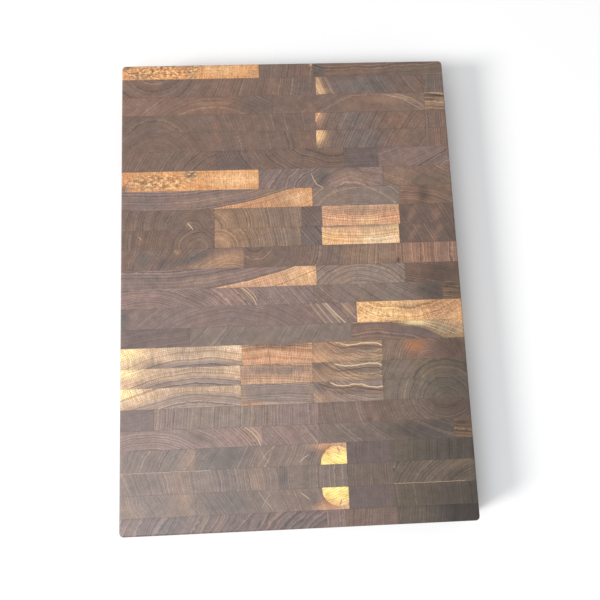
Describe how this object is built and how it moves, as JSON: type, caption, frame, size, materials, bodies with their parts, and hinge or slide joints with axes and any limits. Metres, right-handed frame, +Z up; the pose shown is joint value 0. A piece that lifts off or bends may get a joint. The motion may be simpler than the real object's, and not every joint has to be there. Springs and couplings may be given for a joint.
{
  "type": "end-grain cutting board",
  "caption": "Rectangular end-grain walnut cutting board glued up from rows of upright wood blocks, with eased edges and rounded corners.",
  "frame": {"origin": "middle of the underside, on the surface that the board lies on", "axes": "+X to the right along the strips, +Y away from the user along the longer side, +Z up out of the cutting surface"},
  "size_m": [0.322, 0.45, 0.038],
  "materials": {
    "walnut_heartwood": "oiled satin, end grain",
    "walnut_sapwood": "oiled satin, end grain"
  },
  "bodies": {
    "root": {"strip_01_heartwood": "walnut_heartwood", "strip_01_sapwood": "walnut_sapwood", "strip_02_heartwood": "walnut_heartwood", "strip_03_heartwood": "walnut_heartwood", "strip_04_heartwood": "walnut_heartwood", "strip_05_heartwood": "walnut_heartwood", "strip_06_heartwood": "walnut_heartwood", "strip_07_heartwood": "walnut_heartwood", "strip_07_sapwood": "walnut_sapwood", "strip_08_heartwood": "walnut_heartwood", "strip_09_heartwood": "walnut_heartwood", "strip_09_sapwood": "walnut_sapwood", "strip_10_heartwood": "walnut_heartwood", "strip_10_sapwood": "walnut_sapwood", "strip_11_heartwood": "walnut_heartwood", "strip_12_heartwood": "walnut_heartwood", "strip_13_heartwood": "walnut_heartwood", "strip_14_heartwood": "walnut_heartwood", "strip_14_sapwood": "walnut_sapwood", "strip_15_heartwood": "walnut_heartwood", "strip_16_heartwood": "walnut_heartwood", "strip_16_sapwood": "walnut_sapwood", "strip_17_heartwood": "walnut_heartwood", "strip_17_sapwood": "walnut_sapwood", "strip_18_heartwood": "walnut_heartwood", "strip_18_sapwood": "walnut_sapwood", "strip_19_heartwood": "walnut_heartwood", "strip_20_heartwood": "walnut_heartwood", "strip_21_heartwood": "walnut_heartwood", "strip_22_heartwood": "walnut_heartwood", "strip_23_heartwood": "walnut_heartwood", "strip_24_heartwood": "walnut_heartwood"}
  },
  "joints": []
}
